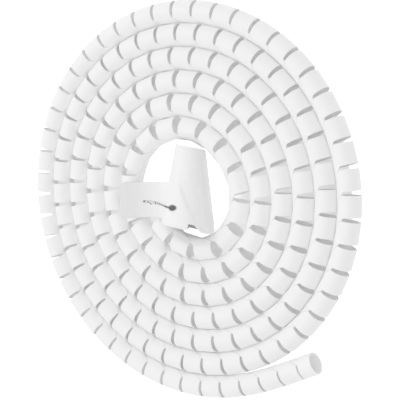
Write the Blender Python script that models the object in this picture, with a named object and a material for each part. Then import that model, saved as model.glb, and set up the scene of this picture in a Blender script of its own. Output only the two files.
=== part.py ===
"""A coil of spiral cable wrap with the tool that loads cables into it.

The wrap is one plastic tube wound flat, turn against turn, on the floor. It starts in the coil's eye,
runs counter-clockwise outwards and leaves the coil as a short tail. Slots cut it into stiff straight
bands, which a narrow spine joins on the coil's inner side. The tool is a tapered tube with a finger
tab. It lies in the eye, and its tab rests on the inner turns.
"""

import bisect
import math

import bmesh
import bpy

# The tube that the wrap is cut from
TUBE_DIAMETER = 0.0246
WALL = 0.0014
BORE_DEPTH = 0.030
BORE_STATIONS = 6
TUBE_SIDES = 12

# The slots, measured on the tube's inner side, where the spine is
BAND_PITCH = 0.0246
SLOT_AT_SPINE = 0.0008
FIRST_SLOT = 0.0259
SPINE_SIDES = (4, 5, 6, 7)

# The coil, measured on the tube's centre line, is slightly oval, and its first turn starts a little
# further in, because straight bands need more room there
START_RADIUS = 0.0557
START_ANGLE = math.radians(210.5)
TURN_GAP = 0.00098
EYE_TIGHTENING = 0.0005
WOUND_TURNS = 6.198
OVAL = 0.0043
OVAL_ANGLE = math.radians(-43.9)
STATIONS_PER_TURN = 180

# The tail straightens over its first stretch and then runs straight
TAIL_EASE = 0.095
TAIL_LENGTH = 0.1086
TAIL_STATIONS = 40
TAIL_FINE_STEPS = 8

# The tool's tapered tube, lying along Y with its narrow mouth at +Y
TOOL_X = 0.0062
TOOL_NARROW_Y = 0.0520
TOOL_LENGTH = 0.0890
TOOL_NARROW_DIAMETER = 0.0335
TOOL_WIDE_DIAMETER = 0.0600
TOOL_WALL = 0.0018
TOOL_SIDES = 48
TOOL_STATIONS = 9

# Both mouths are cut askew: they lean forward with height and back towards +X
MOUTH_LEAN = 0.16
MOUTH_SKEW = 0.20

# The wide mouth has a notch beside the raised pad, and its corner by the coil is cut back
NOTCH_DEPTH = 0.0070
NOTCH_FROM = 22
NOTCH_TO = 56
NOTCH_STEEPNESS = 1.6
CORNER_CUT = 0.0050
CORNER_ANGLE = -35
CORNER_SPREAD = 45

# A pad stands a little proud of the tube from its ridge round to the tab
PAD_HEIGHT = 0.0018
PAD_START_Y = 0.0180
PAD_RIDGE_ANGLE = 80
PAD_RIDGE_TURN = 55
PAD_EDGE = 12
PAD_BACK = 135
PAD_BACK_EDGE = 24
PAD_STEEPNESS = 4

# The finger tab rests on the coil's inner turns and sweeps up into the tube
TAB_THICKNESS = 0.0020
TAB_LEFT = -0.0878
TAB_FRONT = -0.0248
TAB_BACK = 0.0150
TAB_CORNER = 0.0070
TAB_LIFT = 0.0003
SWEEP_START = -0.0430
SWEEP_ANGLE = 112
SWEEP_STEPS = 9
SWEEP_SHARE = 0.82

# The slit in the tab ends in an oval hole in the pad
SLIT_WIDTH = 0.0014
SLIT_START = (-0.0533, -0.0066)
SLIT_HOLE = (0.0050, -0.0124)
HOLE_LENGTH = 0.0095
HOLE_WIDTH = 0.0056
HOLE_SIDES = 16

PITCH = TUBE_DIAMETER + TURN_GAP
TUBE_RADIUS = TUBE_DIAMETER / 2


def clear_scene():
    """Removes every object of the file."""
    for item in list(bpy.data.objects):
        bpy.data.objects.remove(item, do_unlink=True)


def plastic(name, colour, roughness):
    """A plain opaque plastic."""
    material = bpy.data.materials.new(name)
    material.use_nodes = True
    shader = material.node_tree.nodes["Principled BSDF"]
    shader.inputs["Base Color"].default_value = (*colour, 1)
    shader.inputs["Roughness"].default_value = roughness
    shader.inputs["Metallic"].default_value = 0
    return material


def spiral_point(angle):
    """Centre of the tube and its heading where the spiral has reached an angle."""
    oval_turn = 2 * (angle - OVAL_ANGLE)
    turns = (angle - START_ANGLE) / math.tau
    tightening = EYE_TIGHTENING * max(0, 1 - turns)
    radius = START_RADIUS + PITCH * turns + OVAL * math.cos(oval_turn) - tightening
    growth = PITCH / math.tau - 2 * OVAL * math.sin(oval_turn)
    heading = angle + math.pi / 2 - math.atan(growth / radius)
    return radius * math.cos(angle), radius * math.sin(angle), heading


def tail_points(x, y, heading, curvature):
    """Stations of the tail, whose curvature falls to nothing over its ease."""
    steps = TAIL_STATIONS * TAIL_FINE_STEPS
    step = TAIL_LENGTH / steps
    points = []
    for index in range(1, steps + 1):
        middle = (index - 0.5) * step
        heading += curvature * max(0, 1 - middle / TAIL_EASE) * step
        x += math.cos(heading) * step
        y += math.sin(heading) * step
        if index % TAIL_FINE_STEPS == 0:
            points.append((x, y, heading))
    return points


def centre_line():
    """Stations of the tube from the eye of the coil to the end of the tail."""
    count = round(WOUND_TURNS * STATIONS_PER_TURN)
    last_angle = START_ANGLE + WOUND_TURNS * math.tau
    points = []
    for index in range(count + 1):
        share = index / count
        points.append(spiral_point(START_ANGLE + (last_angle - START_ANGLE) * share))
    last_radius = math.hypot(points[-1][0], points[-1][1])
    return points + tail_points(*points[-1], 1 / last_radius)


def inner_lengths(points):
    """How far along the tube's inner side each station is."""
    lengths = [0.0]
    for before, after in zip(points, points[1:]):
        step = math.dist(before[:2], after[:2])
        lengths.append(lengths[-1] + step - TUBE_RADIUS * (after[2] - before[2]))
    return lengths


def station_at(points, lengths, length):
    """The station at a length along the tube's inner side."""
    index = bisect.bisect_right(lengths, length, 1, len(lengths) - 1) - 1
    share = (length - lengths[index]) / (lengths[index + 1] - lengths[index])
    return tuple(a + (b - a) * share for a, b in zip(points[index], points[index + 1]))


def ring(mesh, station, radius, along=0):
    """A ring of vertices around the tube, with flats below, above and at both sides."""
    x, y, heading = station
    reach = radius / math.cos(math.pi / TUBE_SIDES)
    vertices = []
    for side in range(TUBE_SIDES):
        angle = math.tau * (side + 0.5) / TUBE_SIDES
        across = reach * math.cos(angle)
        place = (
            x + math.cos(heading) * along + math.sin(heading) * across,
            y + math.sin(heading) * along - math.cos(heading) * across,
            TUBE_RADIUS + reach * math.sin(angle),
        )
        vertices.append(mesh.verts.new(place))
    return vertices


def bridge(mesh, first, second):
    """Quads between two rings of the same count."""
    count = len(first)
    for side in range(count):
        after = (side + 1) % count
        mesh.faces.new((first[side], first[after], second[after], second[side]))


def slot(mesh, before, after):
    """Joins two bands by their spine only, so that a slot opens between them."""
    spine_before = [before[side] for side in SPINE_SIDES]
    spine_after = [after[side] for side in SPINE_SIDES]
    bridge(mesh, spine_before, spine_after)
    last, first = SPINE_SIDES[-1], SPINE_SIDES[0]
    mesh.faces.new(before[last:] + before[:first + 1])
    mesh.faces.new(after[last:] + after[:first + 1])


def bands(lengths):
    """Start and end of each stiff band along the tube's inner side."""
    edges = [0.0]
    edge = FIRST_SLOT
    while edge < lengths[-1]:
        edges.append(edge)
        edge += BAND_PITCH
    edges.append(lengths[-1])
    half = SLOT_AT_SPINE / 2
    spans = [[low + half, high - half] for low, high in zip(edges, edges[1:])]
    spans[0][0] = 0.0
    spans[-1][1] = lengths[-1]
    return spans


def bore(name, points):
    """A round rod that hollows out the tube's end, from just outside the mouth."""
    x, y, heading = points[0]
    towards = math.atan2(points[1][1] - y, points[1][0] - x)
    outside = (x - math.cos(towards) * WALL, y - math.sin(towards) * WALL, heading)
    mesh = bmesh.new()
    length = 0
    rings = [ring(mesh, outside, TUBE_RADIUS - WALL)]
    for before, after in zip(points, points[1:]):
        length += math.dist(before[:2], after[:2])
        if length > len(rings) * BORE_DEPTH / BORE_STATIONS:
            rings.append(ring(mesh, after, TUBE_RADIUS - WALL))
        if length >= BORE_DEPTH:
            break
    for before, after in zip(rings, rings[1:]):
        bridge(mesh, before, after)
    mesh.faces.new(rings[0])
    mesh.faces.new(rings[-1])
    return finish(name, mesh)


def spiral_wrap(points):
    """The wound tube as one closed solid of bands on a spine, bored open at each end."""
    lengths = inner_lengths(points)
    mesh = bmesh.new()
    previous = None
    for start, end in bands(lengths):
        station = station_at(points, lengths, (start + end) / 2)
        half = (end - start) / 2
        first = ring(mesh, station, TUBE_RADIUS, -half)
        last = ring(mesh, station, TUBE_RADIUS, half)
        bridge(mesh, first, last)
        if previous:
            slot(mesh, previous, first)
        else:
            mesh.faces.new(first)
        previous = last
    mesh.faces.new(previous)
    wrap = finish("spiral_wrap", mesh)
    combine(wrap, bore("eye_end_bore", points), "DIFFERENCE")
    combine(wrap, bore("tail_end_bore", points[::-1]), "DIFFERENCE")
    return wrap


def finish(name, mesh):
    """Turns a bmesh into an object with its faces pointing out."""
    bmesh.ops.recalc_face_normals(mesh, faces=mesh.faces)
    data = bpy.data.meshes.new(name)
    mesh.to_mesh(data)
    mesh.free()
    data.shade_smooth()
    data.set_sharp_from_angle(angle=math.radians(40))
    item = bpy.data.objects.new(name, data)
    bpy.context.scene.collection.objects.link(item)
    return item


def smooth_step(value):
    """Rises smoothly from 0 to 1 while the value does."""
    value = min(max(value, 0), 1)
    return value * value * (3 - 2 * value)


def tool_radius(y):
    """Outer radius of the tapered tube at a place along Y."""
    share = (TOOL_NARROW_Y - y) / TOOL_LENGTH
    return (TOOL_NARROW_DIAMETER + (TOOL_WIDE_DIAMETER - TOOL_NARROW_DIAMETER) * share) / 2


def mouth_y(degrees, middle_y):
    """Where a mouth cut askew meets the tube's side at an angle around it."""
    turn = math.radians(degrees)
    radius = tool_radius(middle_y)
    return middle_y + radius * (MOUTH_LEAN * math.sin(turn) - MOUTH_SKEW * math.cos(turn))


def wide_mouth_y(degrees):
    """The wide mouth's edge with its notch and its cut corner."""
    edge = mouth_y(degrees, TOOL_NARROW_Y - TOOL_LENGTH)
    if NOTCH_FROM < degrees < NOTCH_TO:
        edge += NOTCH_DEPTH * smooth_step((degrees - NOTCH_FROM) / (NOTCH_TO - NOTCH_FROM) * NOTCH_STEEPNESS)
    away = abs(degrees - CORNER_ANGLE) / CORNER_SPREAD
    return edge + CORNER_CUT * (1 - smooth_step(away))


def pad_height(degrees, y):
    """How far the pad stands proud of the tapered tube."""
    along = (PAD_START_Y - y) / (PAD_START_Y - TOOL_NARROW_Y + TOOL_LENGTH)
    ridge = PAD_RIDGE_ANGLE - PAD_RIDGE_TURN * along
    rise = smooth_step((degrees - ridge) / PAD_EDGE) * smooth_step((PAD_BACK - degrees) / PAD_BACK_EDGE)
    return PAD_HEIGHT * rise * smooth_step(along * PAD_STEEPNESS)


def tool_rings(mesh, inset):
    """Rings of vertices from the narrow mouth to the wide one, set in from the tube's outside."""
    rings = []
    for station in range(TOOL_STATIONS):
        share = station / (TOOL_STATIONS - 1)
        vertices = []
        for side in range(TOOL_SIDES):
            degrees = (side + 0.5) * 360 / TOOL_SIDES - 180
            turn = math.radians(degrees)
            y = mouth_y(degrees, TOOL_NARROW_Y) * (1 - share) + wide_mouth_y(degrees) * share
            outer = tool_radius(y)
            reach = (outer - inset) / math.cos(math.pi / TOOL_SIDES) + pad_height(degrees, y)
            place = (TOOL_X + reach * math.cos(turn), y, outer + reach * math.sin(turn))
            vertices.append(mesh.verts.new(place))
        rings.append(vertices)
    return rings


def tapered_tube():
    """The tool's tube: its outside, its hollow and the edges of its two mouths."""
    mesh = bmesh.new()
    outer = tool_rings(mesh, 0)
    inner = tool_rings(mesh, TOOL_WALL)
    for rings in (outer, inner):
        for before, after in zip(rings, rings[1:]):
            bridge(mesh, before, after)
    bridge(mesh, outer[0], inner[0])
    bridge(mesh, outer[-1], inner[-1])
    return finish("applicator_tool", mesh)


def core(name, inset):
    """A plain tapered solid inside the tube, longer than it at both ends."""
    mesh = bmesh.new()
    ends = []
    for y in (TOOL_NARROW_Y + TOOL_LENGTH / 4, TOOL_NARROW_Y - TOOL_LENGTH * 5 / 4):
        outer = tool_radius(y)
        ring_points = []
        for side in range(TOOL_SIDES):
            turn = math.tau * (side + 0.5) / TOOL_SIDES
            across = (outer - inset) * math.cos(turn)
            place = (TOOL_X + across, y, outer + (outer - inset) * math.sin(turn))
            ring_points.append(mesh.verts.new(place))
        ends.append(ring_points)
    bridge(mesh, *ends)
    mesh.faces.new(ends[0])
    mesh.faces.new(ends[1])
    return finish(name, mesh)


def tab_left(y):
    """The tab's left edge, which rounds its two corners."""
    into_corner = max(TAB_FRONT + TAB_CORNER - y, y - TAB_BACK + TAB_CORNER, 0)
    return TAB_LEFT + TAB_CORNER - math.sqrt(max(TAB_CORNER ** 2 - into_corner ** 2, 0))


def tab_profile(y):
    """Points of the tab's middle surface from its left edge up into the tube's wall."""
    low = TUBE_DIAMETER + TAB_LIFT + TAB_THICKNESS / 2
    outer = tool_radius(y)
    turn = math.radians(SWEEP_ANGLE)
    reach = outer - TOOL_WALL / 2
    end_x = TOOL_X + reach * math.cos(turn)
    end_z = outer + reach * math.sin(turn)
    points = [(tab_left(y), low)]
    for step in range(SWEEP_STEPS + 1):
        share = step / SWEEP_STEPS
        x = SWEEP_START + (end_x - SWEEP_START) * share
        points.append((x, low + (end_z - low) * smooth_step(share * SWEEP_SHARE) / smooth_step(SWEEP_SHARE)))
    return points


def tab():
    """The tab as a bent plate of even thickness."""
    mesh = bmesh.new()
    corner_rows = [TAB_CORNER * (1 - math.cos(math.radians(turn))) for turn in (0, 30, 60, 90)]
    rows = [TAB_FRONT + inset for inset in corner_rows]
    rows += [(TAB_FRONT + TAB_BACK) / 2]
    rows += [TAB_BACK - inset for inset in corner_rows[::-1]]
    upper, lower = [], []
    for y in rows:
        profile = tab_profile(y)
        upper.append([mesh.verts.new((x, y, z + TAB_THICKNESS / 2)) for x, z in profile])
        lower.append([mesh.verts.new((x, y, z - TAB_THICKNESS / 2)) for x, z in profile])
    for sheet in (upper, lower):
        for before, after in zip(sheet, sheet[1:]):
            strip(mesh, before, after)
    for end in (0, -1):
        strip(mesh, upper[end], lower[end])
        strip(mesh, [row[end] for row in upper], [row[end] for row in lower])
    return finish("tab_shape", mesh)


def strip(mesh, first, second):
    """Quads between two open rows of the same count."""
    for index in range(len(first) - 1):
        mesh.faces.new((first[index], first[index + 1], second[index + 1], second[index]))


def slit_outline():
    """Corner points of the slit and its oval hole seen from above."""
    heading = math.atan2(SLIT_HOLE[1] - SLIT_START[1], SLIT_HOLE[0] - SLIT_START[0])
    length = math.dist(SLIT_START, SLIT_HOLE)
    half = SLIT_WIDTH / 2
    flat = [(0, half), (0, -half)]
    cut = math.asin(SLIT_WIDTH / HOLE_WIDTH)
    for side in range(HOLE_SIDES + 1):
        turn = -math.pi + cut + (math.tau - 2 * cut) * side / HOLE_SIDES
        flat.append((length + HOLE_LENGTH / 2 * math.cos(turn), HOLE_WIDTH / 2 * math.sin(turn)))
    points = []
    for along, across in flat:
        x = SLIT_START[0] + along * math.cos(heading) - across * math.sin(heading)
        y = SLIT_START[1] + along * math.sin(heading) + across * math.cos(heading)
        points.append((x, y))
    return points


def prism(name, outline, low, high):
    """A closed upright solid over an outline."""
    mesh = bmesh.new()
    lower = [mesh.verts.new((x, y, low)) for x, y in outline]
    upper = [mesh.verts.new((x, y, high)) for x, y in outline]
    bridge(mesh, lower, upper)
    mesh.faces.new(lower)
    mesh.faces.new(upper)
    return finish(name, mesh)


def combine(item, other, operation):
    """Adds a Boolean with a hidden helper solid."""
    other.hide_render = True
    other.display_type = "WIRE"
    modifier = item.modifiers.new(operation.lower(), "BOOLEAN")
    modifier.object = other
    modifier.operation = operation
    modifier.solver = "EXACT"


def applicator_tool():
    """The tapered tube with its tab, slit and hole."""
    tool = tapered_tube()
    plate = tab()
    combine(plate, core("tab_trim", TOOL_WALL / 2), "DIFFERENCE")
    combine(tool, plate, "UNION")
    slit = prism("slit_shape", slit_outline(), TUBE_DIAMETER, TUBE_DIAMETER + TOOL_WIDE_DIAMETER)
    combine(tool, slit, "DIFFERENCE")
    return tool


def centre_on_floor(items):
    """Moves the objects together so that the wrap's box is centred over the origin."""
    corners = [vertex.co for vertex in items[0].data.vertices]
    middle_x = (min(place.x for place in corners) + max(place.x for place in corners)) / 2
    middle_y = (min(place.y for place in corners) + max(place.y for place in corners)) / 2
    for item in items:
        item.location = (-middle_x, -middle_y, 0)


clear_scene()
wrap = spiral_wrap(centre_line())
tool = applicator_tool()
wrap.data.materials.append(plastic("wrap_plastic", (0.86, 0.86, 0.85), 0.42))
tool.data.materials.append(plastic("tool_plastic", (0.84, 0.84, 0.83), 0.30))
centre_on_floor(list(bpy.context.scene.objects))
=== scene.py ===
# %% [markdown]
# A coil of spiral cable wrap, with the tool that loads cables into it. The wrap is one strip of white
# plastic: a tube that was cut all along by a slot that goes round and round, so that it opens where a
# cable leaves it. The tool is a moulded tapered tube with a finger tab.
# The CAD model is loaded first. It is the fixed frame: every piece below is made in its metres.

# %% Load the frame
import math

import bmesh
import bpy
from mathutils import Matrix, Vector


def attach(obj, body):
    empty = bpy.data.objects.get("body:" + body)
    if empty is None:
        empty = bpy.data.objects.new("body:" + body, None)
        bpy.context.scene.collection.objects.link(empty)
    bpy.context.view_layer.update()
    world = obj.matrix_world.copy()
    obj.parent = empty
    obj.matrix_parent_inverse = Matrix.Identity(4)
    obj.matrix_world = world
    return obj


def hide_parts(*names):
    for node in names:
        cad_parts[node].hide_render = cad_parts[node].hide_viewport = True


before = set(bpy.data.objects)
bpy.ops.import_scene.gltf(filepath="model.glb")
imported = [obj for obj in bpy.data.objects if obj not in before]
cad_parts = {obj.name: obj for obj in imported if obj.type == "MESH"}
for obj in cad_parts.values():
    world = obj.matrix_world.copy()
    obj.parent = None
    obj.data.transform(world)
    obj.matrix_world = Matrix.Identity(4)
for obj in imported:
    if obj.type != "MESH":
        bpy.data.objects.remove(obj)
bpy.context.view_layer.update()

# %% [markdown]
# The camera comes before the pieces. A photograph gives one view only, so the camera's place was found
# by fitting the coil's turns: circles that lie flat look like ellipses, and how the far turns shrink
# gives the distance. Blender's camera looks along its own -Z, so its axes are written as a matrix.

# %% Set up the camera
PHOTO_SIDE = 400
FOCAL_PIXELS = 1106.5
SENSOR_WIDTH = 36.0
CAMERA_AIM = Vector((0.01940, -0.00052, 0.0125))
CAMERA_DISTANCE = 1.2151
CAMERA_ELEVATION = math.radians(56.05)
CAMERA_AZIMUTH = math.radians(5.29)
CAMERA_ROLL = math.radians(-2.74)


def place_camera():
    """Makes the camera and returns it."""
    data = bpy.data.cameras.new("camera")
    data.sensor_width = SENSOR_WIDTH
    data.lens = FOCAL_PIXELS / PHOTO_SIDE * SENSOR_WIDTH
    camera = bpy.data.objects.new("camera", data)
    bpy.context.scene.collection.objects.link(camera)
    back = Vector((
        math.cos(CAMERA_ELEVATION) * math.cos(CAMERA_AZIMUTH),
        math.cos(CAMERA_ELEVATION) * math.sin(CAMERA_AZIMUTH),
        math.sin(CAMERA_ELEVATION),
    ))
    level_right = (-back).cross(Vector((0, 1, 0))).normalized()
    level_up = level_right.cross(-back)
    right = math.cos(CAMERA_ROLL) * level_right + math.sin(CAMERA_ROLL) * level_up
    up = math.cos(CAMERA_ROLL) * level_up - math.sin(CAMERA_ROLL) * level_right
    turn = Matrix((right, up, back)).transposed().to_4x4()
    camera.matrix_world = Matrix.Translation(CAMERA_AIM + back * CAMERA_DISTANCE) @ turn
    bpy.context.scene.camera = camera
    return camera


camera = place_camera()
print("the lens is", round(camera.data.lens, 1), "mm")

# %% [markdown]
# The tent of light, the floor and both plastics are built from nodes. A few small functions add a node
# with its inputs, do a sum or map one range of values to another, so that each effect below reads like
# a formula.

# %% Write the node helpers
WHITE = (1, 1, 1, 1)


def add_node(tree, kind, links=(), **values):
    """A node with its properties, then its inputs as values or as other nodes' sockets."""
    node = tree.nodes.new(kind)
    for key, value in values.items():
        setattr(node, key, value)
    for name, value in links:
        if isinstance(value, bpy.types.NodeSocket):
            tree.links.new(value, node.inputs[name])
        else:
            node.inputs[name].default_value = value
    return node


def maths(tree, operation, first, second=0.5, third=0.5):
    """A Math node's result."""
    links = ((0, first), (1, second), (2, third))
    return add_node(tree, "ShaderNodeMath", links, operation=operation).outputs[0]


def vector_maths(tree, operation, first, second):
    """A Vector Math node's results."""
    return add_node(tree, "ShaderNodeVectorMath", ((0, first), (1, second)), operation=operation).outputs


def fade(tree, value, start, end, low=0.0, high=1.0, **kinds):
    """Goes from low to high while a value goes from start to end."""
    links = (("Value", value), ("From Min", start), ("From Max", end), ("To Min", low), ("To Max", high))
    return add_node(tree, "ShaderNodeMapRange", links, **kinds).outputs["Result"]


def noise(tree, place, scale, detail, distortion=0.0):
    """Noise about 0.5, in lumps of one over the scale."""
    links = (("Vector", place), ("Scale", scale), ("Detail", detail), ("Distortion", distortion))
    return add_node(tree, "ShaderNodeTexNoise", links).outputs["Fac"]


def start_material(name):
    """A new material, its tree, its shader and its object coordinates."""
    material = bpy.data.materials.new(name)
    material.use_nodes = True
    tree = material.node_tree
    shader = tree.nodes["Principled BSDF"]
    return material, tree, shader, tree.nodes.new("ShaderNodeTexCoord").outputs["Object"]


print("the node helpers are ready")

# %% [markdown]
# White plastic on white is lit like a light tent: a bright world, and big soft lamps above it. Small or
# hard lamps would draw black shadows into the slots, which the real picture doesn't have. The tent is
# brightest overhead and darker at its sides, most of all on the right, because a white thing needs
# something dark to mirror along its edges. The print's gamma lifts the shadows, as catalogues do.

# %% Light the coil like a product photograph
LAMPS = (
    ("key", (-0.75, 0.75, 1.10), 1.00, 1.6),
    ("fill", (0.90, -0.75, 1.00), 1.20, 0.5),
    ("top", (-0.10, 0.05, 1.60), 1.40, 2.6),
)
TENT_TOP = (-0.35, 0.10, 0.93)
TENT_TOP_LIGHT = 0.96
TENT_SIDE_LIGHT = 0.22
TENT_DARK_FROM = -0.10
TENT_LIGHT_FROM = 0.85
PRINT_GAMMA = 2.0


def soft_lamp(name, place, side, power):
    """A square lamp that faces the coil."""
    data = bpy.data.lights.new(name, "AREA")
    data.size = side
    data.energy = power
    lamp = bpy.data.objects.new(name, data)
    lamp.location = place
    lamp.rotation_euler = Vector(place).to_track_quat("Z", "Y").to_euler()
    bpy.context.scene.collection.objects.link(lamp)


def light_tent():
    """A white world that is brightest overhead."""
    world = bpy.data.worlds.new("light tent")
    world.use_nodes = True
    tree = world.node_tree
    sky = tree.nodes["Background"]
    sky.inputs["Color"].default_value = WHITE
    direction = tree.nodes.new("ShaderNodeTexCoord").outputs["Generated"]
    towards_top = vector_maths(tree, "DOT_PRODUCT", direction, TENT_TOP)["Value"]
    light = fade(tree, towards_top, TENT_DARK_FROM, TENT_LIGHT_FROM, TENT_SIDE_LIGHT, TENT_TOP_LIGHT)
    tree.links.new(light, sky.inputs["Strength"])
    return world


for lamp in LAMPS:
    soft_lamp(*lamp)
bpy.context.scene.world = light_tent()
bpy.context.scene.view_settings.view_transform = "Standard"
bpy.context.scene.view_settings.gamma = PRINT_GAMMA
print("there are", len(LAMPS), "soft lamps in the tent")

# %% [markdown]
# The floor is a plain white sheet. It isn't part of the object. Catalogue
# pictures have the floor round the object whitened afterwards, so it glows for the camera outside the
# coil and in its eye. Everywhere else it glows a quarter as much, like a light table, which keeps the
# slots grey. The two round glows end under the plastic, where the camera's lines of sight meet the floor.

# %% Lay the floor
FLOOR_SIDE = 16.0
FLOOR_TONE = 0.90
FLOOR_ROUGHNESS = 0.9
COIL_CENTRE = (-0.0060, 0.0020, 0.0)
COIL_OUTSIDE = 0.206
EYE_CENTRE = (-0.0080, 0.0125, 0.0)
EYE_RADIUS = 0.0585
TAB_SHADE = (-0.0460, -0.0120, 0.0)
TAB_SHADE_RADIUS = 0.0250
GLOW_FADE = 0.0040
GLOW_UNDER = 0.25


def deselect_all():
    """Leaves nothing selected, because an operator acts on all that is."""
    bpy.ops.object.select_all(action="DESELECT")


def round_mask(tree, place, centre, dark_at, light_at):
    """Goes from 0 to 1 between two distances from a point of the floor."""
    distance = vector_maths(tree, "DISTANCE", place, centre)["Value"]
    return fade(tree, distance, dark_at, light_at, interpolation_type="SMOOTHSTEP")


def white_paper():
    """White paper that glows where the camera sees it round the coil."""
    paper, tree, shader, place = start_material("white paper")
    outside = round_mask(tree, place, COIL_CENTRE, COIL_OUTSIDE - GLOW_FADE, COIL_OUTSIDE)
    in_eye = round_mask(tree, place, EYE_CENTRE, EYE_RADIUS + GLOW_FADE, EYE_RADIUS)
    unshaded = round_mask(tree, place, TAB_SHADE, TAB_SHADE_RADIUS, TAB_SHADE_RADIUS + GLOW_FADE)
    bright = maths(tree, "MULTIPLY", maths(tree, "MAXIMUM", outside, in_eye), unshaded)
    to_camera = tree.nodes.new("ShaderNodeLightPath").outputs["Is Camera Ray"]
    glow = maths(tree, "MULTIPLY_ADD", bright, to_camera, GLOW_UNDER)
    tree.links.new(glow, shader.inputs["Emission Strength"])
    shader.inputs["Emission Color"].default_value = WHITE
    shader.inputs["Base Color"].default_value = (FLOOR_TONE, FLOOR_TONE, FLOOR_TONE, 1)
    shader.inputs["Roughness"].default_value = FLOOR_ROUGHNESS
    return paper


deselect_all()
bpy.ops.mesh.primitive_plane_add(size=FLOOR_SIDE, location=(0, 0, 0))
floor = bpy.context.object
floor.name = "floor"
floor.data.materials.append(white_paper())
print("the floor is", FLOOR_SIDE, "m wide")

# %% [markdown]
# The wrap's line is a spiral, a little oval, that ends in a nearly straight tail. It repeats the line
# of the CAD solid. Each station keeps its place, its heading and how far it is along the tube's inner
# side, because that is where the plastic is neither stretched nor opened when the tube is wound.

# %% Follow the wound tube's line
TUBE_DIAMETER = 0.0246
TUBE_RADIUS = TUBE_DIAMETER / 2
WALL = 0.0014
TURN_PITCH = 0.02558
START_RADIUS = 0.0557
EYE_TIGHTENING = 0.0005
START_ANGLE = math.radians(210.5)
WOUND_TURNS = 6.198
OVAL = 0.0043
OVAL_ANGLE = math.radians(-43.9)
TAIL_EASE = 0.095
TAIL_LENGTH = 0.1086
LINE_SHIFT = (0.00638, 0.00641)
LINE_STEP = 0.0010


def spiral_point(angle):
    """Centre of the tube and its heading where the spiral has reached an angle."""
    oval_turn = 2 * (angle - OVAL_ANGLE)
    turns = (angle - START_ANGLE) / math.tau
    tightening = EYE_TIGHTENING * max(0, 1 - turns)
    radius = START_RADIUS + TURN_PITCH * turns + OVAL * math.cos(oval_turn) - tightening
    growth = TURN_PITCH / math.tau - 2 * OVAL * math.sin(oval_turn)
    heading = angle + math.pi / 2 - math.atan(growth / radius)
    return radius * math.cos(angle), radius * math.sin(angle), heading


def wound_line():
    """Stations of the whole line: x, y, heading and spiral angle."""
    stations = []
    angle = START_ANGLE
    last_angle = START_ANGLE + WOUND_TURNS * math.tau
    while angle < last_angle:
        stations.append((*spiral_point(angle), angle))
        angle += LINE_STEP / math.hypot(*spiral_point(angle)[:2])
    x, y, heading = spiral_point(last_angle)
    curvature = 1 / math.hypot(x, y)
    stations.append((x, y, heading, last_angle))
    steps = round(TAIL_LENGTH / LINE_STEP)
    for index in range(steps):
        heading += curvature * max(0, 1 - (index + 0.5) * LINE_STEP / TAIL_EASE) * LINE_STEP
        x += math.cos(heading) * LINE_STEP
        y += math.sin(heading) * LINE_STEP
        stations.append((x, y, heading, last_angle + index * LINE_STEP * curvature))
    return [(x + LINE_SHIFT[0], y + LINE_SHIFT[1], heading, angle) for x, y, heading, angle in stations]


line = wound_line()
inner_lengths = [0.0]
line_length = 0.0
for before, after in zip(line, line[1:]):
    step = math.dist(before[:2], after[:2])
    line_length += step
    inner_lengths.append(inner_lengths[-1] + step - TUBE_RADIUS * (after[2] - before[2]))
print("the tube is", round(line_length, 3), "m long,", round(inner_lengths[-1], 3), "m on its inner side")

# %% [markdown]
# The cut goes round the tube in steps. For three quarters of each turn it runs square across the tube
# and opens as a slot. On the coil's inner side it slants back by one pitch to meet the slot before, and
# stays shut there. So the strip is a row of stiff rings, each hinged to the next by a slanted spine.

# %% Find where the slots are
BAND_PITCH = 0.02460
SLOT_AT_HINGE = 0.00200
SPINE_CUT = 0.00030
FIRST_SLOT = 0.0259
SLOT_REACH = math.radians(138)


def slot_edge(index):
    """Length of a slot's middle line."""
    return FIRST_SLOT + index * BAND_PITCH


def station_at(length):
    """Place and heading at a length along the inner side, also a little past both ends."""
    low, high = 0, len(inner_lengths) - 1
    while high - low > 1:
        middle = (low + high) // 2
        if inner_lengths[middle] <= length:
            low = middle
        else:
            high = middle
    share = (length - inner_lengths[low]) / (inner_lengths[high] - inner_lengths[low])
    first, second = line[low], line[high]
    return [a + (b - a) * share for a, b in zip(first, second)]


slot_count = math.floor((inner_lengths[-1] - FIRST_SLOT) / BAND_PITCH) + 1
print("there are", slot_count, "slots")

# %% [markdown]
# A screw modifier makes a plain helix only, so the strip is computed: rows of points go round the tube
# along the strip, one after the other. A row on a ring stays straight, because a short band of plastic
# is too stiff to bend. A row on the spine follows the bend, and between them the rows ease over.

# %% Shape the strip
AROUND_STEP = math.radians(9)
SPINE_STEP = math.radians(7)
SPINE_TILT = math.radians(-11)
SPINE_SWING = math.radians(23)
SPINE_SWING_ANGLE = math.radians(188.5)
BANDS_PAST_START = 2


def smooth_step(value):
    """Rises smoothly from 0 to 1 while the value does."""
    value = min(max(value, 0), 1)
    return value * value * (3 - 2 * value)


def tube_frame(length):
    """Centre, direction, outward direction and spine's twist at a length along the inner side."""
    x, y, heading, angle = station_at(length)
    centre = Vector((x, y, TUBE_RADIUS))
    along = Vector((math.cos(heading), math.sin(heading), 0))
    outward = Vector((math.sin(heading), -math.cos(heading), 0))
    return centre, along, outward, SPINE_TILT + SPINE_SWING * math.cos(angle - SPINE_SWING_ANGLE)


def on_circle(circle_frame, around, depth):
    """A point at an angle around the tube and a depth under its skin."""
    centre, along, outward, twist = circle_frame
    turn = around + twist
    spoke = outward * math.cos(turn) + Vector((0, 0, math.sin(turn)))
    return centre + spoke * (TUBE_RADIUS - depth)


def ring_point(length, around, depth, ring_frame, ring_length, ease):
    """A point of the strip: on its stiff ring, on the curved spine, or between them."""
    stiff = on_circle(ring_frame, around, depth) + ring_frame[1] * (length - ring_length)
    if ease == 0:
        return stiff
    return stiff.lerp(on_circle(tube_frame(length), around, depth), ease)


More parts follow.
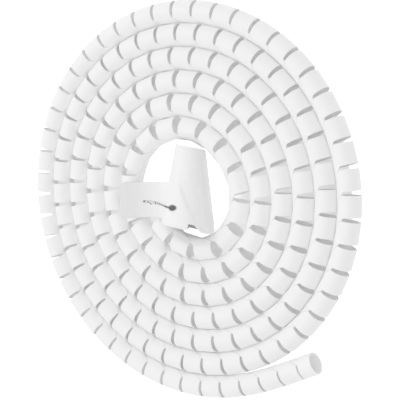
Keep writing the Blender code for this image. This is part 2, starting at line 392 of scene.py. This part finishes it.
def strip_rows():
    """Each row of the strip: its lower and upper edge, its angle, its band, its share and its gap."""
    rows = []
    spine_rows = round((math.tau - 2 * SLOT_REACH) / SPINE_STEP)
    ring_rows = round(2 * SLOT_REACH / AROUND_STEP)
    for band in range(slot_count, -BANDS_PAST_START - 1, -1):
        low, high = slot_edge(band - 1), slot_edge(band)
        for row in range(spine_rows):
            share = row / spine_rows
            around = SLOT_REACH + share * (math.tau - 2 * SLOT_REACH)
            shift = BAND_PITCH * (1 - share)
            rows.append((low + shift, high + shift, around, band + (share < 0.5), share, SPINE_CUT))
        for row in range(ring_rows):
            around = -SLOT_REACH + row * AROUND_STEP
            gap = SLOT_AT_HINGE if row else (SLOT_AT_HINGE + SPINE_CUT) / 2
            rows.append((low, high, around, band, 0, gap))
    return rows


print("a turn of the strip has", round(2 * SLOT_REACH / AROUND_STEP), "rows on its ring")

# %% [markdown]
# Each row is the same small section, a wall thick and with eased corners. Faces join it to the row
# before, and one face closes each end, so the strip is one closed body. Every vertex keeps its place on
# the strip and on the tube, for the die lines and the cut edges of the material.

# %% Build the strip's mesh
STRIP_PLACE = "strip_place"
TUBE_PLACE = "tube_place"
CORNER = 0.00030
TIP_WIDTH = 0.0008
HINGE_BLEND = math.radians(16)
SMOOTH_BELOW = math.radians(30)


def ring_middle(band):
    """Middle of a band, which is a shorter one at each end of the tube."""
    low = max(slot_edge(band - 1), 0)
    high = min(slot_edge(band), inner_lengths[-1])
    return (low + high) / 2


def section(low, high):
    """The strip's section as pairs of length and depth, with eased corners."""
    corner = min(CORNER, (high - low) / 4)
    return (
        (low + corner, 0), (high - corner, 0), (high, corner), (high, WALL - corner),
        (high - corner, WALL), (low + corner, WALL), (low, WALL - corner), (low, corner),
    )


def add_attribute(mesh, name, vectors):
    """Stores a vector for each vertex, which a material can read."""
    attribute = mesh.attributes.new(name, "FLOAT_VECTOR", "POINT")
    attribute.data.foreach_set("vector", [value for vector in vectors for value in vector])


def join_rows(mesh, previous, vertices):
    """Lays faces between two rows, or closes the strip's end where there is no row before."""
    if previous is None:
        mesh.faces.new(vertices)
        return
    for index in range(len(vertices)):
        after = (index + 1) % len(vertices)
        mesh.faces.new((previous[index], previous[after], vertices[after], vertices[index]))


def build_strip():
    """The whole strip as one closed mesh that knows where each vertex is on the strip and the tube."""
    mesh = bmesh.new()
    strip_places, tube_places = [], []
    previous = None
    for low, high, around, band, share, gap in strip_rows():
        low = max(low + gap / 2, 0)
        high = min(high - gap / 2, inner_lengths[-1])
        if high - low < TIP_WIDTH:
            continue
        distance = abs(abs(math.remainder(around, math.tau)) - SLOT_REACH)
        ease = smooth_step(distance / HINGE_BLEND) if share > 0 else 0
        ring_length = ring_middle(band)
        ring_frame = tube_frame(ring_length)
        wound = (around + (slot_count - band) * math.tau) * TUBE_RADIUS
        vertices = []
        for length, depth in section(low, high):
            point = ring_point(length, around, depth, ring_frame, ring_length, ease)
            vertices.append(mesh.verts.new(point))
            strip_places.append(((length - low) / (high - low), wound, depth / WALL))
            tube_places.append((length, around * TUBE_RADIUS, depth))
        join_rows(mesh, previous, vertices)
        previous = vertices
    mesh.faces.new(previous[::-1])
    bmesh.ops.recalc_face_normals(mesh, faces=mesh.faces)
    data = bpy.data.meshes.new("wrap_strip")
    mesh.to_mesh(data)
    mesh.free()
    add_attribute(data, STRIP_PLACE, strip_places)
    add_attribute(data, TUBE_PLACE, tube_places)
    return data


def count_triangles(mesh):
    """How many triangles a mesh's faces make."""
    return sum(len(face.vertices) - 2 for face in mesh.polygons)


strip = bpy.data.objects.new("wrap_strip", build_strip())
bpy.context.scene.collection.objects.link(strip)
deselect_all()
strip.select_set(True)
bpy.context.view_layer.objects.active = strip
bpy.ops.object.shade_smooth_by_angle(angle=SMOOTH_BELOW)
print("the strip has", count_triangles(strip.data), "triangles")

# %% [markdown]
# The tool is an injection moulding: a tapered tube that lies on the floor, both mouths cut askew. A
# mouth that leans is a cosine round the tube. The wide rim also has a notch on its left and gives way
# at one corner. These are the values of the CAD tool.

# %% Measure the tapered tube
TOOL_X = 0.0062
TOOL_NARROW_Y = 0.0520
TOOL_LENGTH = 0.0890
TOOL_NARROW_DIAMETER = 0.0335
TOOL_WIDE_DIAMETER = 0.0600
TOOL_WALL = 0.0018
MOUTH_LEAN = 0.16
MOUTH_SKEW = 0.20
NOTCH_DEPTH = 0.0070
NOTCH_FROM = 22
NOTCH_TO = 56
NOTCH_STEEPNESS = 1.6
CORNER_CUT = 0.0050
CORNER_ANGLE = -35
CORNER_SPREAD = 45


def tool_radius(y):
    """Outer radius of the tapered tube at a place along Y."""
    share = (TOOL_NARROW_Y - y) / TOOL_LENGTH
    return (TOOL_NARROW_DIAMETER + (TOOL_WIDE_DIAMETER - TOOL_NARROW_DIAMETER) * share) / 2


def mouth_y(degrees, middle_y):
    """Where a mouth cut askew meets the tube's side at an angle around it."""
    turn = math.radians(degrees)
    return middle_y + tool_radius(middle_y) * (MOUTH_LEAN * math.sin(turn) - MOUTH_SKEW * math.cos(turn))


def wide_mouth_y(degrees):
    """The wide mouth's edge with its notch and its cut corner."""
    edge = mouth_y(degrees, TOOL_NARROW_Y - TOOL_LENGTH)
    if NOTCH_FROM < degrees < NOTCH_TO:
        into_notch = (degrees - NOTCH_FROM) / (NOTCH_TO - NOTCH_FROM)
        edge += NOTCH_DEPTH * smooth_step(into_notch * NOTCH_STEEPNESS)
    away = abs(degrees - CORNER_ANGLE) / CORNER_SPREAD
    return edge + CORNER_CUT * (1 - smooth_step(away))


print("the tool's mouths are", TOOL_NARROW_DIAMETER, "and", TOOL_WIDE_DIAMETER, "m wide")

# %% [markdown]
# A raised pad covers the shoulder beside the tab, and its ridge runs down to the wide rim. A fine
# groove follows each rim. Both are heights that are added to the tube's radius.

# %% Add the pad and the grooves
PAD_HEIGHT = 0.0018
PAD_START_Y = 0.0180
PAD_RIDGE_ANGLE = 80
PAD_RIDGE_TURN = 55
PAD_EDGE = 12
PAD_BACK = 135
PAD_BACK_EDGE = 24
PAD_STEEPNESS = 4
RIM_GROOVE = 0.0009
RIM_GROOVE_PLACE = 0.0026
RIM_GROOVE_WIDTH = 0.0012


def pad_height(degrees, y):
    """How far the pad stands proud of the tapered tube."""
    along = (PAD_START_Y - y) / (PAD_START_Y - TOOL_NARROW_Y + TOOL_LENGTH)
    ridge = PAD_RIDGE_ANGLE - PAD_RIDGE_TURN * along
    rise = smooth_step((degrees - ridge) / PAD_EDGE) * smooth_step((PAD_BACK - degrees) / PAD_BACK_EDGE)
    return PAD_HEIGHT * rise * smooth_step(along * PAD_STEEPNESS)


def groove_depth(to_rim):
    """The fine groove that follows each rim."""
    return RIM_GROOVE * max(0, 1 - abs(to_rim - RIM_GROOVE_PLACE) / RIM_GROOVE_WIDTH)


def tube_place(degrees, share):
    """A point of the tube's outside, between its narrow mouth and its wide one."""
    narrow, wide = mouth_y(degrees, TOOL_NARROW_Y), wide_mouth_y(degrees)
    y = narrow + (wide - narrow) * share
    radius = tool_radius(y)
    reach = radius + pad_height(degrees, y) - groove_depth(min(narrow - y, y - wide))
    turn = math.radians(degrees)
    return (
        TOOL_X + LINE_SHIFT[0] + reach * math.cos(turn),
        y + LINE_SHIFT[1],
        radius + reach * math.sin(turn),
    )


print("the pad stands", PAD_HEIGHT, "m proud")

# %% [markdown]
# A cone primitive would give the taper, but not the rims, so a grid is added and wrapped round: each of
# its rows runs from mouth to mouth. Merging doubles closes the seam, and a Solidify modifier then gives
# the wall.

# %% Wrap a grid into the tapered tube
TUBE_ROUND = 160
TUBE_ROWS = 70
MERGE_DISTANCE = 1e-5


def activate(item):
    """Selects one object only and makes it the active one."""
    deselect_all()
    item.select_set(True)
    bpy.context.view_layer.objects.active = item


def add_grid(name, columns, rows, place):
    """Adds a square grid and moves each vertex to place(across, along), both from 0 to 1."""
    deselect_all()
    bpy.ops.mesh.primitive_grid_add(x_subdivisions=columns, y_subdivisions=rows, size=1)
    sheet = bpy.context.object
    sheet.name = name
    for vertex in sheet.data.vertices:
        vertex.co = place(vertex.co.x + 0.5, vertex.co.y + 0.5)
    return sheet


def add_modifier(item, name, kind, **values):
    """Adds a modifier with its values and applies it."""
    activate(item)
    modifier = item.modifiers.new(name, kind)
    for key, value in values.items():
        setattr(modifier, key, value)
    bpy.ops.object.modifier_apply(modifier=name)


def face_outwards(item, middle_of_row):
    """Merges doubles, and turns the faces if the first one looks towards the middle."""
    activate(item)
    bpy.ops.object.mode_set(mode="EDIT")
    bpy.ops.mesh.select_all(action="SELECT")
    bpy.ops.mesh.remove_doubles(threshold=MERGE_DISTANCE)
    bpy.ops.mesh.normals_make_consistent(inside=False)
    bpy.ops.object.mode_set(mode="OBJECT")
    face = item.data.polygons[0]
    if face.normal.dot(face.center - middle_of_row(face.center)) < 0:
        bpy.ops.object.mode_set(mode="EDIT")
        bpy.ops.mesh.select_all(action="SELECT")
        bpy.ops.mesh.flip_normals()
        bpy.ops.object.mode_set(mode="OBJECT")


def tube_axis(place):
    """The middle of the tapered tube beside a place."""
    return Vector((TOOL_X + LINE_SHIFT[0], place.y, tool_radius(place.y - LINE_SHIFT[1])))


tool = add_grid("applicator", TUBE_ROUND, TUBE_ROWS, lambda a, b: tube_place(a * 360 - 180, b))
face_outwards(tool, tube_axis)
add_modifier(tool, "wall", "SOLIDIFY", thickness=TOOL_WALL, offset=-1, use_even_offset=True)
print("the tool's tube has", len(tool.data.polygons), "faces")

# %% [markdown]
# The finger tab is a plate that lies on the inner turns and sweeps up into the tube's shoulder. It is a
# grid too: its left corners are rounded, it is a little dished where the finger presses, and its right
# edge ends inside the tube's wall.

# %% Sweep the finger tab into the tube
TAB_THICKNESS = 0.0020
TAB_LEFT = -0.0878
TAB_FRONT = -0.0248
TAB_BACK = 0.0150
TAB_CORNER = 0.0070
TAB_LIFT = 0.0003
SWEEP_START = -0.0430
SWEEP_ANGLE = 112
SWEEP_SHARE = 0.82
FLAT_SHARE = 0.45
DISH_DEPTH = 0.0002
DISH_PLACE = (-0.060, -0.004)
DISH_RADIUS = 0.020
TAB_COLUMNS = 80
TAB_ROWS = 40


def tab_left(y):
    """The tab's left edge, which rounds its two corners."""
    into_corner = min(max(TAB_FRONT + TAB_CORNER - y, y - TAB_BACK + TAB_CORNER, 0), TAB_CORNER)
    return TAB_LEFT + TAB_CORNER - math.sqrt(TAB_CORNER ** 2 - into_corner ** 2)


def tab_place(across, along):
    """A point of the tab's middle surface, from its left edge to inside the tube's wall."""
    y = TAB_FRONT + (TAB_BACK - TAB_FRONT) * along
    low = TUBE_DIAMETER + TAB_LIFT + TAB_THICKNESS / 2
    reach = tool_radius(y) - TOOL_WALL / 2
    end_x = TOOL_X + reach * math.cos(math.radians(SWEEP_ANGLE))
    end_z = tool_radius(y) + reach * math.sin(math.radians(SWEEP_ANGLE))
    if across < FLAT_SHARE:
        x = tab_left(y) + (SWEEP_START - tab_left(y)) * across / FLAT_SHARE
        z = low
    else:
        share = (across - FLAT_SHARE) / (1 - FLAT_SHARE)
        x = SWEEP_START + (end_x - SWEEP_START) * share
        z = low + (end_z - low) * smooth_step(share * SWEEP_SHARE) / smooth_step(SWEEP_SHARE)
    dish = DISH_DEPTH * (1 - smooth_step(math.dist((x, y), DISH_PLACE) / DISH_RADIUS))
    return x + LINE_SHIFT[0], y + LINE_SHIFT[1], z - dish


tab = add_grid("finger_tab", TAB_COLUMNS, TAB_ROWS, tab_place)
face_outwards(tab, lambda place: place - Vector((0, 0, 1)))
add_modifier(tab, "plate", "SOLIDIFY", thickness=TAB_THICKNESS, offset=0, use_even_offset=True)
print("the finger tab has", len(tab.data.polygons), "faces")

# %% [markdown]
# The tab must not reach into the hollow that the cables run through. A cone that fills the hollow and
# part of the wall is cut from it first, and then a union joins tab and tube into one moulding.

# %% Join the tab to the tube
CORE_WALL_SHARE = 0.8
CORE_MARGIN = TOOL_LENGTH / 4


def add_core():
    """A cone as long as the tool and more, which fills the tube and a little of its wall."""
    deselect_all()
    ends = (TOOL_NARROW_Y - TOOL_LENGTH - CORE_MARGIN, TOOL_NARROW_Y + CORE_MARGIN)
    radii = [tool_radius(y) - TOOL_WALL * CORE_WALL_SHARE for y in ends]
    middle = (ends[0] + ends[1]) / 2
    bpy.ops.mesh.primitive_cone_add(
        vertices=TUBE_ROUND, radius1=radii[0], radius2=radii[1], depth=ends[1] - ends[0],
        location=(TOOL_X + LINE_SHIFT[0], middle + LINE_SHIFT[1], tool_radius(middle)),
        rotation=(-math.pi / 2, 0, 0),
    )
    core = bpy.context.object
    bpy.ops.object.transform_apply(location=True, rotation=True, scale=True)
    for vertex in core.data.vertices:
        vertex.co.z += tool_radius(vertex.co.y - LINE_SHIFT[1]) - tool_radius(middle)
    return core


def combine(item, other, operation):
    """Adds or cuts away another piece, which is then removed."""
    add_modifier(item, operation.lower(), "BOOLEAN", object=other, operation=operation, solver="EXACT")
    bpy.data.objects.remove(other, do_unlink=True)


combine(tab, add_core(), "DIFFERENCE")
combine(tool, tab, "UNION")
print("the tool with its tab has", len(tool.data.polygons), "faces")

# %% [markdown]
# A long slit runs from the tab up the shoulder to an oval hole. Two small round holes sit on it. They
# are cut with simple solids, as a milling cutter would.

# %% Cut the slit and its holes
SLIT_WIDTH = 0.0012
SLIT_START = (-0.0533, -0.0066)
SLIT_HOLE = (0.0050, -0.0124)
HOLE_LENGTH = 0.0095
HOLE_WIDTH = 0.0056
SLIT_BLOBS = (((-0.0430, -0.0082), 0.0034), ((-0.0350, -0.0084), 0.0028))
BLOB_ROUNDNESS = 0.8
CUTTER_ROUND = 48
CUT_LOW = TUBE_DIAMETER
CUT_HIGH = TUBE_DIAMETER + TOOL_WIDE_DIAMETER
slit_length = math.dist(SLIT_START, SLIT_HOLE)
slit_heading = math.atan2(SLIT_HOLE[1] - SLIT_START[1], SLIT_HOLE[0] - SLIT_START[0])


def along_slit(x, y):
    """Turns a place into lengths along the slit and across it."""
    along = x * math.cos(slit_heading) + y * math.sin(slit_heading)
    across = y * math.cos(slit_heading) - x * math.sin(slit_heading)
    return along, across


def place_cutter(place, size):
    """Stands the active primitive upright through the tool, turned along the slit."""
    cutter = bpy.context.object
    cutter.scale = (*size, CUT_HIGH - CUT_LOW)
    cutter.rotation_euler = (0, 0, slit_heading)
    cutter.location = (place[0] + LINE_SHIFT[0], place[1] + LINE_SHIFT[1], (CUT_LOW + CUT_HIGH) / 2)
    bpy.ops.object.transform_apply(location=True, rotation=True, scale=True)
    return cutter


def round_cutter(place, length, width):
    """An oval rod."""
    deselect_all()
    bpy.ops.mesh.primitive_cylinder_add(vertices=CUTTER_ROUND, radius=0.5, depth=1)
    return place_cutter(place, (length, width))


deselect_all()
bpy.ops.mesh.primitive_cube_add(size=1)
slit_middle = [(a + b) / 2 for a, b in zip(SLIT_START, SLIT_HOLE)]
combine(tool, place_cutter(slit_middle, (slit_length, SLIT_WIDTH)), "DIFFERENCE")
combine(tool, round_cutter(SLIT_HOLE, HOLE_LENGTH, HOLE_WIDTH), "DIFFERENCE")
for blob_place, blob_size in SLIT_BLOBS:
    combine(tool, round_cutter(blob_place, blob_size, blob_size * BLOB_ROUNDNESS), "DIFFERENCE")
print("the slit is", round(slit_length * 1000, 1), "mm long")

# %% [markdown]
# A moulding has no sharp corners, since molten plastic and a milled mould round them all. A voxel remesh
# fuses the parts into one skin and a few rounds of smoothing soften it. Nearly half of its tiny faces
# are then taken out again. Low collars are raised round the hole and round the slit's other end.

# %% Fuse the moulding and soften its corners
VOXEL = 0.00050
SOFTEN_FACTOR = 0.5
SOFTEN_ROUNDS = 4
KEEP_SHARE = 0.55
COLLARS = ((SLIT_HOLE, 0.0052, 0.0036), ((-0.0505, -0.0069), 0.0030, 0.0026))
COLLAR_HEIGHT = 0.0005
COLLAR_WIDTH = 0.0010
FACING_UP = 0.3


def raise_collars(item):
    """Lifts a low ring round the hole and round the slit's other end."""
    lifts = []
    for vertex in item.data.vertices:
        x, y = vertex.co.x - LINE_SHIFT[0], vertex.co.y - LINE_SHIFT[1]
        lift = 0
        for (ring_x, ring_y), long_radius, short_radius in COLLARS:
            along, across = along_slit(x - ring_x, y - ring_y)
            off_ring = abs(math.hypot(along / long_radius, across / short_radius) - 1) * short_radius
            if vertex.normal.z > FACING_UP and vertex.co.z > TUBE_DIAMETER + TAB_THICKNESS / 2:
                lift = max(lift, COLLAR_HEIGHT * (1 - smooth_step(off_ring / COLLAR_WIDTH)))
        lifts.append(vertex.normal * lift)
    for vertex, lift in zip(item.data.vertices, lifts):
        vertex.co += lift


add_modifier(tool, "fuse", "REMESH", mode="VOXEL", voxel_size=VOXEL)
add_modifier(tool, "soften", "SMOOTH", factor=SOFTEN_FACTOR, iterations=SOFTEN_ROUNDS)
add_modifier(tool, "thin out", "DECIMATE", ratio=KEEP_SHARE)
raise_collars(tool)
bpy.ops.object.shade_smooth()
print("the finished tool has", count_triangles(tool.data), "triangles")

# %% [markdown]
# The tool's material has to know three things about each vertex: how deep it lies in the hollow, which
# is matt and painted dark as shade, how near a rim it is, which gets rubbed, and how near the slit it is,
# where painted shade makes the narrow cut look dark.

# %% Mark the tool's hollow, rims and slit
TOOL_PLACE = "tool_place"
HOLLOW_FROM = TOOL_WALL * 0.5
HOLLOW_FADE = TOOL_WALL * 0.3
RIM_WEAR_WIDTH = 0.002
# How far from the slit its painted shade reaches.
SLIT_SHADE_WIDTH = 0.0012


def slit_distance(place):
    """Distance from the slit's edge or the edge of one of its holes, seen from above."""
    x, y = place.x - LINE_SHIFT[0], place.y - LINE_SHIFT[1]
    along, across = along_slit(x - SLIT_START[0], y - SLIT_START[1])
    past = max(-along, along - slit_length, 0)
    nearest = math.hypot(past, across) - SLIT_WIDTH / 2
    oval = math.hypot((along - slit_length) / (HOLE_LENGTH / 2), across / (HOLE_WIDTH / 2)) - 1
    nearest = min(nearest, oval * HOLE_WIDTH / 2)
    for blob_place, size in SLIT_BLOBS:
        nearest = min(nearest, math.dist((x, y), blob_place) - size / 2)
    return nearest


def tool_mark(place):
    """How far a vertex is in the hollow, how near a rim it is, and how much painted shade the slit gives
    it.
    """
    y = place.y - LINE_SHIFT[1]
    across = place.x - TOOL_X - LINE_SHIFT[0]
    radius = tool_radius(y)
    up = place.z - radius
    degrees = math.degrees(math.atan2(up, across))
    depth = radius + pad_height(degrees, y) - math.hypot(across, up)
    hollow = smooth_step((depth - HOLLOW_FROM) / HOLLOW_FADE) if depth > 0 else 0
    to_rim = min(mouth_y(degrees, TOOL_NARROW_Y) - y, y - wide_mouth_y(degrees))
    rim = 1 - smooth_step(abs(to_rim) / RIM_WEAR_WIDTH)
    # Near the slit the vertex is marked for painted shade.
    slit_shade = 1 - smooth_step(slit_distance(place) / SLIT_SHADE_WIDTH)
    return hollow, rim, slit_shade


tool_marks = [tool_mark(vertex.co) for vertex in tool.data.vertices]
add_attribute(tool.data, TOOL_PLACE, tool_marks)
print("the hollow has", sum(hollow > 0.5 for hollow, rim, slit_shade in tool_marks), "vertices")

# %% [markdown]
# Both plastics share three effects, so each is a node group that is built once: a fine grain, a slow
# drift of tone, and wear that breaks up along edges. A group puts out plain values only, and each
# material adds its own amounts.

# %% Make the shared effects
FLOAT, VECTOR = "NodeSocketFloat", "NodeSocketVector"
GRAIN_FINER = 3.7
GRAIN_COARSE_SHARE = 0.6
GRAIN_FINE_SHARE = 0.4
WEAR_GAIN = 1.6


def new_group(name, inputs, output):
    """An empty node group with a place and some numbers as inputs, and one value as its output."""
    group = bpy.data.node_groups.new(name, "ShaderNodeTree")
    group.interface.new_socket("Place", in_out="INPUT", socket_type=VECTOR)
    for socket, value in inputs:
        group.interface.new_socket(socket, in_out="INPUT", socket_type=FLOAT).default_value = value
    group.interface.new_socket(output, in_out="OUTPUT", socket_type=FLOAT)
    return group, group.nodes.new("NodeGroupInput").outputs, group.nodes.new("NodeGroupOutput").inputs[0]


def grain_group():
    """Two sizes of noise, as a height from 0 to 1."""
    group, given, out = new_group("fine grain", (("Scale", 900.0),), "Height")
    coarse = noise(group, given["Place"], given["Scale"], 2.0)
    fine = noise(group, given["Place"], maths(group, "MULTIPLY", given["Scale"], GRAIN_FINER), 1.0)
    height = maths(group, "MULTIPLY", coarse, GRAIN_COARSE_SHARE)
    group.links.new(maths(group, "MULTIPLY_ADD", fine, GRAIN_FINE_SHARE, height), out)
    return group


def drift_group():
    """A slow change of tone over the piece, as a value about 1."""
    group, given, out = new_group("tone drift", (("Scale", 20.0), ("Amount", 0.03)), "Tone")
    swing = maths(group, "SUBTRACT", noise(group, given["Place"], given["Scale"], 3.0), 0.5)
    group.links.new(maths(group, "MULTIPLY_ADD", swing, given["Amount"], 1.0), out)
    return group


def wear_group():
    """Rubbing along edges, broken up by noise, as a mask."""
    group, given, out = new_group("edge wear", (("Edge", 0.0), ("Scale", 400.0)), "Mask")
    broken = maths(group, "MULTIPLY", noise(group, given["Place"], given["Scale"], 4.0), WEAR_GAIN)
    links = ((0, given["Edge"]), (1, broken))
    mask = add_node(group, "ShaderNodeMath", links, operation="MULTIPLY", use_clamp=True)
    group.links.new(mask.outputs[0], out)
    return group


groups = {"grain": grain_group(), "drift": drift_group(), "wear": wear_group()}
print("the shared effects are", ", ".join(group.name for group in groups.values()))

# %% [markdown]
# Each material then works in the same order: it reads the marks of its piece, mixes a tone from them,
# makes the surface rougher where it is worn, and adds fine relief.

# %% Write the material helpers


def use_group(tree, name, **values):
    """Places a shared effect in a material."""
    node = add_node(tree, "ShaderNodeGroup", node_tree=groups[name])
    for socket, value in values.items():
        if isinstance(value, bpy.types.NodeSocket):
            tree.links.new(value, node.inputs[socket])
        else:
            node.inputs[socket].default_value = value
    return node.outputs[0]


def read_marks(tree, name):
    """A vertex attribute as a vector."""
    return add_node(tree, "ShaderNodeAttribute", attribute_name=name).outputs["Vector"]


def split(tree, vector):
    """The three parts of a vector."""
    return add_node(tree, "ShaderNodeSeparateXYZ", ((0, vector),)).outputs


def grey(tree, tone):
    """A neutral colour from a value."""
    links = (("Red", tone), ("Green", tone), ("Blue", tone))
    return add_node(tree, "ShaderNodeCombineColor", links).outputs[0]


def bump(tree, height, strength, distance, below=None):
    """Relief from a height, laid over other relief."""
    links = [("Height", height), ("Strength", strength), ("Distance", distance)]
    if below is not None:
        links.append(("Normal", below))
    return add_node(tree, "ShaderNodeBump", links).outputs["Normal"]


def make_milky(shader, weight, depth, refraction):
    """Lets light into the plastic, which spreads it before it comes out."""
    shader.inputs["Subsurface Weight"].default_value = weight
    shader.inputs["Subsurface Radius"].default_value = (1, 1, 1)
    shader.inputs["Subsurface Scale"].default_value = depth
    shader.inputs["IOR"].default_value = refraction


print("the material helpers are ready")

# %% [markdown]
# The wrap is polyethylene, which is milky: light goes into it and comes out a millimetre or two away,
# so the slots never look black. That is subsurface scattering. Drawing the tube through its die left
# fine lines along it, and the knife left the cut faces rougher than the skin.

# %% Finish the wrap
WRAP_TONE = 0.88
WRAP_DRIFT = 0.05
WRAP_LINE_TONE = 0.03
WRAP_WEAR_TONE = -0.04
WRAP_ROUGHNESS = 0.40
WRAP_LINE_ROUGHNESS = 0.12
WRAP_WEAR_ROUGHNESS = 0.22
WRAP_GRAIN_ROUGHNESS = 0.05
LINES_ALONG = 2.5
LINES_AROUND = 850.0
WRAP_MILK_DEPTH = 0.0018
WRAP_REFRACTION = 1.51
CUT_BAND = 0.03


def wrap_plastic():
    """Milky white polyethylene with die lines and cut edges."""
    material, tree, shader, place = start_material("wrap polyethylene")
    stretch = vector_maths(tree, "MULTIPLY", read_marks(tree, TUBE_PLACE), (LINES_ALONG, LINES_AROUND, 0.0))
    lines = noise(tree, stretch[0], 1.0, 2.0)
    across = split(tree, read_marks(tree, STRIP_PLACE))["X"]
    from_middle = maths(tree, "ABSOLUTE", maths(tree, "SUBTRACT", across, 0.5))
    edge = fade(tree, from_middle, 0.5 - CUT_BAND, 0.5)
    wear = use_group(tree, "wear", Edge=edge, Place=place, Scale=600.0)
    grain = use_group(tree, "grain", Place=place, Scale=1400.0)
    drift = use_group(tree, "drift", Place=place, Scale=16.0, Amount=WRAP_DRIFT)
    tone = maths(tree, "MULTIPLY", drift, WRAP_TONE)
    tone = maths(tree, "MULTIPLY_ADD", maths(tree, "SUBTRACT", lines, 0.5), WRAP_LINE_TONE, tone)
    tone = maths(tree, "MULTIPLY_ADD", wear, WRAP_WEAR_TONE, tone)
    tree.links.new(grey(tree, tone), shader.inputs["Base Color"])
    rough = WRAP_ROUGHNESS - WRAP_LINE_ROUGHNESS / 2
    rough = maths(tree, "MULTIPLY_ADD", lines, WRAP_LINE_ROUGHNESS, rough)
    rough = maths(tree, "MULTIPLY_ADD", wear, WRAP_WEAR_ROUGHNESS, rough)
    rough = maths(tree, "MULTIPLY_ADD", grain, WRAP_GRAIN_ROUGHNESS, rough)
    tree.links.new(rough, shader.inputs["Roughness"])
    relief = bump(tree, lines, 0.10, 0.0002)
    tree.links.new(bump(tree, grain, 0.08, 0.0001, relief), shader.inputs["Normal"])
    make_milky(shader, 1.0, WRAP_MILK_DEPTH, WRAP_REFRACTION)
    return material


strip.data.materials.append(wrap_plastic())
print("the wrap's material has", len(strip.data.materials[0].node_tree.nodes), "nodes")

# %% [markdown]
# The tool is polypropylene from a polished mould: glossier than the wrap, with faint flow marks, a fine
# grain, and rubbed rims. Its tab's colour is painted greyer than the tube's, a painted shade.
# Its hollow wasn't polished, so it is matt, and its colour is painted darker there, a painted shade.

# %% Finish the tool
TOOL_TONE = 0.87
# The tab's greyer tone, and the x range over which it fades in, are a painted shade.
TAB_PAINTED_SHADE_TONE = 0.62
TAB_PAINTED_SHADE_FROM = -0.060
TAB_PAINTED_SHADE_TO = -0.010
# The hollow's dark tone is a painted shade.
TOOL_HOLLOW_SHADE_TONE = 0.22
TOOL_DRIFT = 0.05
TOOL_FLOW_TONE = 0.03
TOOL_WEAR_TONE = -0.03
# How much the slit's surroundings are darkened, a painted shade.
SLIT_SHADE_SHARE = 0.92
TOOL_ROUGHNESS = 0.27
TOOL_FLOW_ROUGHNESS = 0.10
TOOL_WEAR_ROUGHNESS = 0.15
TOOL_HOLLOW_ROUGHNESS = 0.30
FLOW_STRETCH = (1.0, 0.35, 1.0)
FLOW_SCALE = 90.0
FLOW_SWIRL = 0.6
TOOL_MILK = 0.2
TOOL_MILK_DEPTH = 0.0015
TOOL_REFRACTION = 1.49


def tool_plastic():
    """Glossy white polypropylene with a matt hollow."""
    material, tree, shader, place = start_material("tool polypropylene")
    hollow, rim, slit_shade = split(tree, read_marks(tree, TOOL_PLACE))
    wear = use_group(tree, "wear", Edge=rim, Place=place, Scale=500.0)
    grain = use_group(tree, "grain", Place=place, Scale=2200.0)
    drift = use_group(tree, "drift", Place=place, Scale=30.0, Amount=TOOL_DRIFT)
    flow_place = vector_maths(tree, "MULTIPLY", place, FLOW_STRETCH)[0]
    flow = noise(tree, flow_place, FLOW_SCALE, 2.0, FLOW_SWIRL)
    # Left of the tube the colour fades down to the tab's grey: a painted shade.
    tone = fade(tree, split(tree, place)["X"], TAB_PAINTED_SHADE_FROM, TAB_PAINTED_SHADE_TO, TAB_PAINTED_SHADE_TONE, TOOL_TONE)
    tone = maths(tree, "MULTIPLY", drift, tone)
    tone = maths(tree, "MULTIPLY_ADD", maths(tree, "SUBTRACT", flow, 0.5), TOOL_FLOW_TONE, tone)
    tone = maths(tree, "MULTIPLY_ADD", wear, TOOL_WEAR_TONE, tone)
    # Deep in the hollow the colour is darkened: a painted shade.
    tone = maths(tree, "MULTIPLY_ADD", hollow, TOOL_HOLLOW_SHADE_TONE - TOOL_TONE, tone)
    # Near the slit and its holes the colour is darkened: a painted shade.
    tone = maths(tree, "MULTIPLY", tone, maths(tree, "MULTIPLY_ADD", slit_shade, -SLIT_SHADE_SHARE, 1.0))
    tree.links.new(grey(tree, tone), shader.inputs["Base Color"])
    rough = TOOL_ROUGHNESS - TOOL_FLOW_ROUGHNESS / 2
    rough = maths(tree, "MULTIPLY_ADD", flow, TOOL_FLOW_ROUGHNESS, rough)
    rough = maths(tree, "MULTIPLY_ADD", wear, TOOL_WEAR_ROUGHNESS, rough)
    rough = maths(tree, "MULTIPLY_ADD", hollow, TOOL_HOLLOW_ROUGHNESS, rough)
    tree.links.new(rough, shader.inputs["Roughness"])
    relief = bump(tree, flow, 0.05, 0.0004)
    tree.links.new(bump(tree, grain, 0.05, 0.0001, relief), shader.inputs["Normal"])
    make_milky(shader, TOOL_MILK, TOOL_MILK_DEPTH, TOOL_REFRACTION)
    return material


tool.data.materials.clear()
tool.data.materials.append(tool_plastic())
print("the tool's material has", len(tool.data.materials[0].node_tree.nodes), "nodes")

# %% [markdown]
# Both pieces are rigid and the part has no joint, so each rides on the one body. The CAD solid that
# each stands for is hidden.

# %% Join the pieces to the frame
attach(strip, "root")
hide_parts("spiral_wrap")
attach(tool, "root")
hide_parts("applicator_tool")
